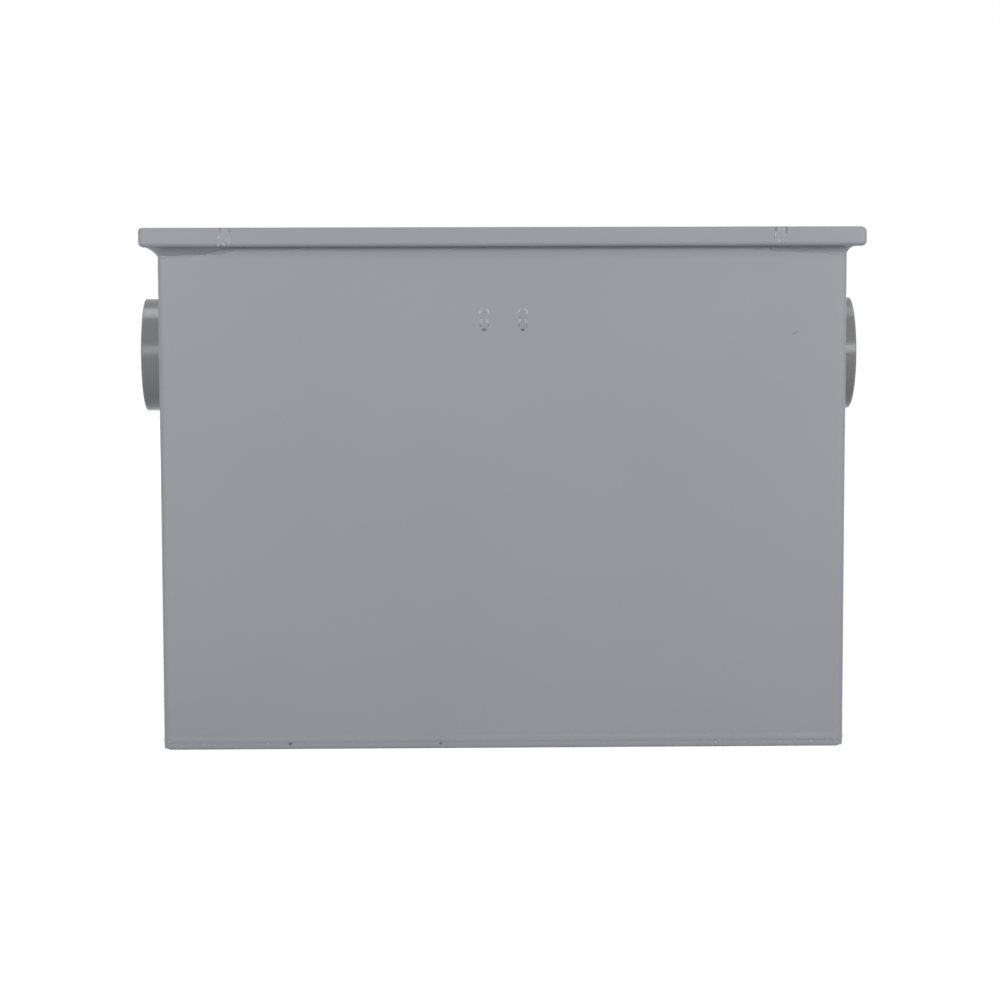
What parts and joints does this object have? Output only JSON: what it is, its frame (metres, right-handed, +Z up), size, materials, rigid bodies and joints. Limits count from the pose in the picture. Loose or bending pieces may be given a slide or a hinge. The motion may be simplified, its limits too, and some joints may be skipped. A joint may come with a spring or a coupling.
{
  "type": "grease trap",
  "caption": "Rectangular painted steel grease trap with plain-end inlet and outlet pipes, upturned rim, gasketed lift-off cover held by one screw, and baffles inside.",
  "frame": {"origin": "on the floor, under the middle of the tank", "axes": "+X along the flow from the inlet to the outlet, +Y towards the rear wall, +Z up; the pictured wall faces -Y"},
  "size_m": [0.554, 0.365, 0.382],
  "materials": {
    "tank_paint": "satin grey paint over welded sheet steel",
    "pipe_paint": "satin grey paint over steel pipe",
    "inner_paint": "satin grey paint over steel",
    "cover_paint": "satin grey paint over tread plate",
    "stainless": "bright turned stainless steel",
    "bright_steel": "plated steel",
    "brass": "cast and turned brass",
    "rubber": "matt black rubber"
  },
  "bodies": {
    "root": {"wall_wrapper": "tank_paint", "bottom_pan": "tank_paint", "rim_corner_inlet_front": "tank_paint", "rim_corner_inlet_rear": "tank_paint", "rim_corner_outlet_front": "tank_paint", "rim_corner_outlet_rear": "tank_paint", "inlet_stub": "pipe_paint", "outlet_stub": "pipe_paint", "cross_bar": "inner_paint", "cross_bar_nut": "bright_steel", "inlet_guide_front_upstream": "inner_paint", "inlet_guide_front_downstream": "inner_paint", "inlet_guide_rear_upstream": "inner_paint", "inlet_guide_rear_downstream": "inner_paint", "outlet_guide_front_upstream": "inner_paint", "outlet_guide_front_downstream": "inner_paint", "outlet_guide_rear_upstream": "inner_paint", "outlet_guide_rear_downstream": "inner_paint", "inlet_baffle": "inner_paint", "outlet_baffle": "inner_paint", "outlet_hood": "inner_paint", "cleanout_boss": "inner_paint", "cleanout_plug": "brass", "cover_gasket": "rubber"},
    "cover": {"cover_plate": "cover_paint", "hold_down_screw": "stainless", "screw_seal": "rubber", "screw_retainer": "stainless"}
  },
  "joints": [
    {"name": "cover_lift", "type": "slide", "parent": "root", "child": "cover", "axis": [0, 0, 1], "range_m": [0, 0.2]}
  ]
}
